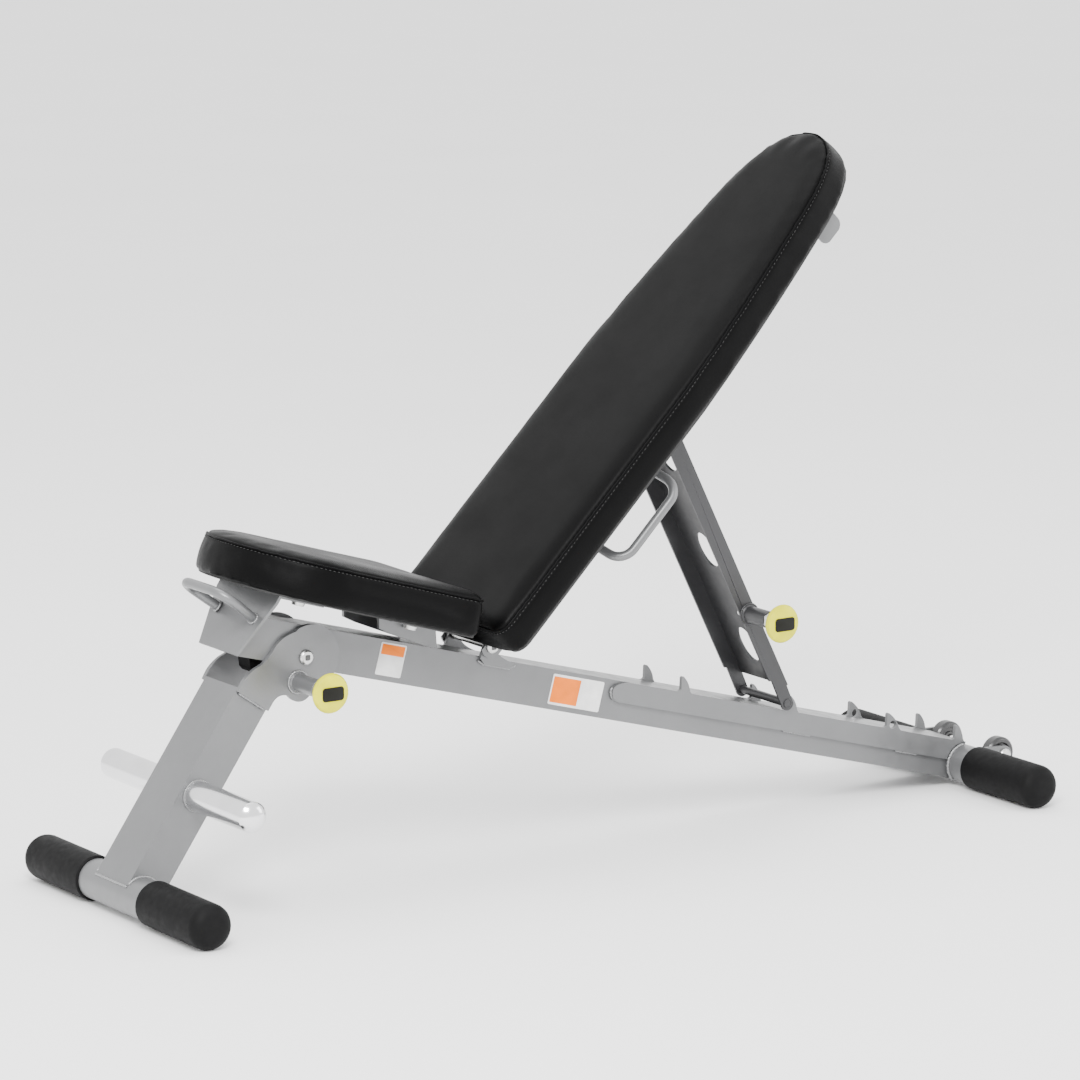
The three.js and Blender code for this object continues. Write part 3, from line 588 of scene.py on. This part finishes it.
def cushion(name, place, outline, levels_mm, voxel, node, body):
    """A padded cushion with a sewn seam and stitches, that stands for a CAD pad."""
    base, top = levels_mm
    levels = [(7, base + 0.8), (4, base + 1.5), (2.6, base + 6), (2.4, (base + top) / 2), (3.0, top - 4),
              (4.0, top - 0.5), (9, top + 1.2), (24, top + 2.4), (60, top + 3.0)]
    mesh = stacked(name, place, outline, levels)
    piece = new_piece(name, mesh, None, body)
    remesh = piece.modifiers.new("even", "REMESH")
    remesh.mode = "VOXEL"
    remesh.voxel_size = voxel * MM
    smooth = piece.modifiers.new("ease", "SMOOTH")
    smooth.iterations = 3
    applied(piece)
    swell(piece, place, base)
    calm = piece.modifiers.new("calm", "SMOOTH")
    calm.iterations = 10
    applied(piece)
    finer = piece.modifiers.new("finer", "SUBSURF")
    finer.levels = 1
    finer.render_levels = 1
    applied(piece)
    corners = [v.co for v in piece.data.vertices]
    surface = BVHTree.FromPolygons(corners, [tuple(f.vertices) for f in piece.data.polygons])
    seam, seam_out = ring_on(surface, place, outline, 0, top - 0.5, 3 * MM)
    tree = KDTree(len(seam))
    for i, point in enumerate(seam):
        tree.insert(point, i)
    tree.balance()
    normals = [v.normal.copy() for v in piece.data.vertices]
    for vertex, normal in zip(piece.data.vertices, normals):
        gap = tree.find(vertex.co)[2] / MM
        along = place.local(vertex.co)
        pucker = math.cos((along.x + 0.7 * along.y) / MM / 11)
        pucker += 0.6 * math.cos((along.x - along.y) / MM / 6.3)
        depth = 1.3 * math.exp(-(gap / 3) ** 2) + 0.09 * pucker * math.exp(-((gap - 9) / 9) ** 2)
        vertex.co -= normal * depth * MM
    piece.data.materials.clear()
    piece.data.materials.append(vinyl_black)
    piece.data.shade_smooth()
    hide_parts(node)
    cord = [p + n * 0.2 * MM for p, n in zip(seam, seam_out)]
    new_piece(f"{name}_seam", tube_mesh(f"{name}_seam", cord, [1.25 * MM] * len(cord), 8, True), vinyl_black,
              body)
    line, out = ring_on(surface, place, outline, 0, top - 5.5, 1.5 * MM)
    points, faces = [], []
    for i in range(0, len(line) - 3, 4):
        mark = tube_mesh("mark", [line[i + k] + out[i + k] * 0.1 * MM for k in range(3)],
                         [0.3 * MM, 0.55 * MM, 0.3 * MM], 6)
        faces += [tuple(len(points) + k for k in face.vertices) for face in mark.polygons]
        points += [v.co.copy() for v in mark.vertices]
        bpy.data.meshes.remove(mark)
    new_piece(f"{name}_stitches", mesh_of(f"{name}_stitches", points, faces), thread, body)


cushion("seat_cushion", seat, seat_outline, SEAT_LEVELS, 4.5, "seat_pad", "frame")
cushion("back_cushion", back, back_outline, BACK_LEVELS, 5.5, "back_pad", "backrest")


# ---- carry loops, badges and labels --------------------------------------------------------------
def rounded(path, radius, count=8):
    """A path with its inner corners turned at a radius."""
    line = [path[0]]
    for a, b, c in zip(path, path[1:], path[2:]):
        u, v = (a - b).normalized(), (c - b).normalized()
        half = u.angle(v) / 2
        centre = b + (u + v).normalized() * radius / math.sin(half)
        first = b + u * radius / math.tan(half) - centre
        last = b + v * radius / math.tan(half) - centre
        start, end = first.normalized(), last.normalized()
        line += [centre + start.slerp(end, i / count) * radius for i in range(count + 1)]
    return line + [path[-1]]


def carry_loop(name, corners, bend, node, body, trim, facing=None):
    """A bent rod welded on at both ends; facing is its plate's way out, where that isn't the rod's own."""
    ways = [(corners[1] - corners[0]).normalized(), (corners[2] - corners[3]).normalized()]
    ends = [corners[0] + ways[0] * trim, corners[3] + ways[1] * trim]
    path = resample(rounded([ends[0], corners[1], corners[2], ends[1]], bend, 12), 4 * MM)
    rod = tube_mesh(name, path, [LOOP_RADIUS] * len(path), 24)
    loop = new_piece(name, rod, silver, body)
    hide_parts(node)
    for number, (end, way) in enumerate(zip(ends, ways)):
        out = facing or way
        side = out.orthogonal().normalized()
        other = out.cross(side)
        turns = [2 * math.pi * i / 20 for i in range(21)]
        reach = LOOP_RADIUS + 0.5 * MM
        root = [end + out * 0.8 * MM + (side * math.cos(t) + other * math.sin(t)) * reach for t in turns]
        weld(f"{name}_root_{number}", root, 1.7 * MM, body)


carry_loop("front_loop", [Vector((-0.4812, -0.04, 0.3497)), Vector((-0.534, -0.057, 0.391)),
                          Vector((-0.534, 0.057, 0.391)), Vector((-0.4812, 0.04, 0.3497))],
           24 * MM, "front_handle", "frame", 6.3 * MM)
carry_loop("back_loop", [back.at(306 * MM, -44 * MM, -13 * MM), back.at(306 * MM, -95 * MM, -50 * MM),
                         back.at(184 * MM, -95 * MM, -50 * MM), back.at(184 * MM, -44 * MM, -13 * MM)],
           22 * MM, "back_handle", "backrest", 5.2 * MM, Vector((0, -1, 0)))


def plate(name, place, x, z, y, length, height, corner, thick, material, body):
    """A thin plate with rounded corners, facing the near side."""
    line = []
    for sx, sz, start in ((1, 1, 0), (-1, 1, 90), (-1, -1, 180), (1, -1, 270)):
        line += turn_points(sx * (length / 2 - corner), sz * (height / 2 - corner), corner, corner, start,
                            start + 90, 6)
    levels = [(0, 1.0), (-thick * 0.6, 1.0), (-thick, 1 - 1.2 * thick / height)]
    points = [place.at(x + px * grow * MM, y + dy * MM, z + pz * grow * MM)
              for dy, grow in levels for px, pz in line]
    count = len(line)
    faces = [tuple(range(count)), tuple(2 * count + k for k in range(count))]
    for a in (0, count):
        faces += [(a + k, a + (k + 1) % count, a + count + (k + 1) % count, a + count + k) for k in range(count)]
    new_piece(name, mesh_of(name, points, faces), material, body)


for knob, body_name in (("leg_pin_knob", "leg_pull_pin"), ("strut_pin_knob", "strut_pull_pin")):
    spot = middle(knob)
    plate(f"{knob}_badge", level, spot.x, spot.z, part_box(knob)[0].y - 0.1 * MM, 30, 17, 4, 0.7, badge_black,
          body_name)


def beam_label(name, at, y, length, height, corner, thick, material):
    plate(name, beam, at[0] * MM, at[1] * MM, y, length, height, corner, thick, material,
          "frame")


beam_label("label_small", LABEL_SMALL, LABEL_Y, 38, 41, 2, 0.3, label_white)
beam_label("label_small_band", (LABEL_SMALL[0], LABEL_SMALL[1] + 12), BAND_Y, 34, 13, 1, 0.2, label_orange)
beam_label("label_large", LABEL_LARGE, LABEL_Y, 80, 39, 2, 0.3, label_white)
beam_label("label_large_band", (LABEL_LARGE[0] - 17, LABEL_LARGE[1]), BAND_Y, 42, 33, 1, 0.2, label_orange)
# Dark plates on the pivot bolt heads: painted shade standing in for their hex socket recesses.
for bolt in ("back_pivot_bolt", "leg_pivot_bolt"):
    spot = middle(bolt)
    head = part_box(bolt)[0].y - 0.05 * MM
    plate(f"{bolt}_socket_shade", level, spot.x, spot.z, head, 7, 7, 1.5, 0.15, socket_painted_shade, "frame")


# ---- floor, light and camera ---------------------------------------------------------------------
def area_light(name, place, aim, size, power):
    light = bpy.data.lights.new(name, "AREA")
    light.shape = "RECTANGLE"
    light.size, light.size_y = size
    light.energy = power
    lamp = bpy.data.objects.new(name, light)
    lamp.location = place
    lamp.rotation_euler = (Vector(aim) - Vector(place)).to_track_quat("-Z", "Y").to_euler()
    bpy.context.scene.collection.objects.link(lamp)


def stage():
    far, low = 12, -1e-4
    corners = [(-far, -far, low), (far, -far, low), (far, far, low), (-far, far, low)]
    ground = mesh_of("floor", corners, [(0, 1, 2, 3)])
    floor = bpy.data.objects.new("floor", ground)
    bpy.context.scene.collection.objects.link(floor)
    material, tree, shader, coords = new_material("floor_pale", 0.8)
    tone = ramp(tree, noise(tree, coords, 2, 2), [(0.3, 0.93), (0.7, 0.95)])
    tree.links.new(tone, shader.inputs["Base Color"])
    ground.materials.append(material)
    world = bpy.data.worlds.new("studio")
    world.use_nodes = True
    world.node_tree.nodes["Background"].inputs["Color"].default_value = (1, 1, 1, 1)
    world.node_tree.nodes["Background"].inputs["Strength"].default_value = 2.0
    bpy.context.scene.world = world
    area_light("key", (-2.2, -2.6, 3.2), (0, 0, 0.4), (1.6, 1.6), 260)
    area_light("side", (2.8, -2.0, 1.6), (0.2, 0, 0.4), (1.6, 2.2), 40)
    area_light("top", (0.2, 0.6, 3.6), (0.1, 0, 0.3), (3.0, 2.0), 60)


CAMERA_AT = (-3.843, -5.6843, 1.7539)
CAMERA_YAW = 33.768
CAMERA_PITCH = 11.248
CAMERA_LENS = 185.4


def make_camera():
    yaw, pitch = math.radians(CAMERA_YAW), math.radians(CAMERA_PITCH)
    way = Vector((math.sin(yaw) * math.cos(pitch), math.cos(yaw) * math.cos(pitch), -math.sin(pitch)))
    data = bpy.data.cameras.new("camera")
    data.lens = CAMERA_LENS
    data.sensor_width = 36
    data.clip_end = 60
    camera = bpy.data.objects.new("camera", data)
    camera.location = CAMERA_AT
    camera.rotation_euler = way.to_track_quat("-Z", "Y").to_euler()
    bpy.context.scene.collection.objects.link(camera)
    bpy.context.scene.camera = camera


stage()
make_camera()
